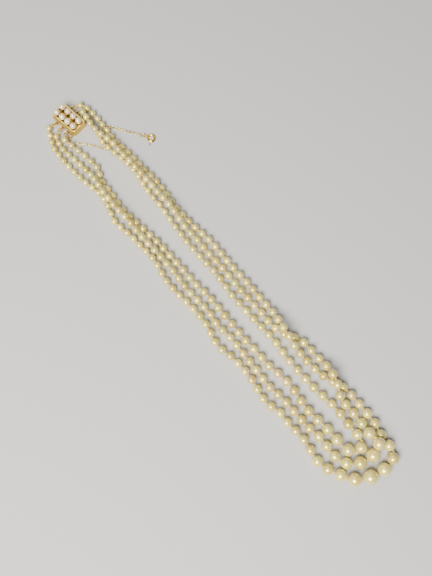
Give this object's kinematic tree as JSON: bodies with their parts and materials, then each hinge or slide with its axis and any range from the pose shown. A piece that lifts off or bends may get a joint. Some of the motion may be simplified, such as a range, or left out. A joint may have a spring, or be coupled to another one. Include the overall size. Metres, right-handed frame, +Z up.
{
  "type": "necklace",
  "caption": "Three-row graduated pearl necklace lying closed as a long narrow loop, with a pearl-set box clasp and a safety chain ending in a bolt ring.",
  "frame": {"origin": "middle of the lying necklace's footprint, on the surface that it lies on", "axes": "+Y along the long loop from its front pearls towards the clasp, +Z up from the surface"},
  "size_m": [0.0494, 0.2523, 0.0102],
  "materials": {
    "pearl": "cream to champagne cultured pearl with a satin lustre",
    "set_pearl": "whiter cultured pearl with a bright lustre",
    "silk": "twisted pale yellow silk",
    "bullion": "fine coiled gilt wire",
    "gold": "polished yellow gold, softly worn",
    "chain_gold": "bright yellow gold"
  },
  "bodies": {
    "necklace": {"clasp_box": "gold", "clasp_tongue": "gold", "clasp_pearl_1": "set_pearl", "clasp_pearl_2": "set_pearl", "clasp_pearl_3": "set_pearl", "clasp_pearl_4": "set_pearl", "clasp_pearl_5": "set_pearl", "clasp_pearl_6": "set_pearl", "clasp_pearl_7": "set_pearl", "clasp_pearl_8": "set_pearl", "end_loop_1": "bullion", "end_loop_2": "bullion", "end_loop_3": "bullion", "end_loop_4": "bullion", "end_loop_5": "bullion", "end_loop_6": "bullion", "pearls_outer": "pearl", "silk_outer": "silk", "pearls_middle": "pearl", "silk_middle": "silk", "pearls_inner": "pearl", "chain_end_ring": "chain_gold", "safety_chain": "chain_gold", "jump_ring": "chain_gold", "bolt_ring": "chain_gold"},
    "trigger": {"bolt_trigger": "chain_gold"}
  },
  "joints": [
    {"name": "trigger_slide", "type": "hinge", "parent": "necklace", "child": "trigger", "pos_m": [0.0218, 0.0814, 0.00065], "axis": [0, 0, 1], "range_deg": [0, 52], "stiffness_Nm_per_rad": 0.0003}
  ]
}
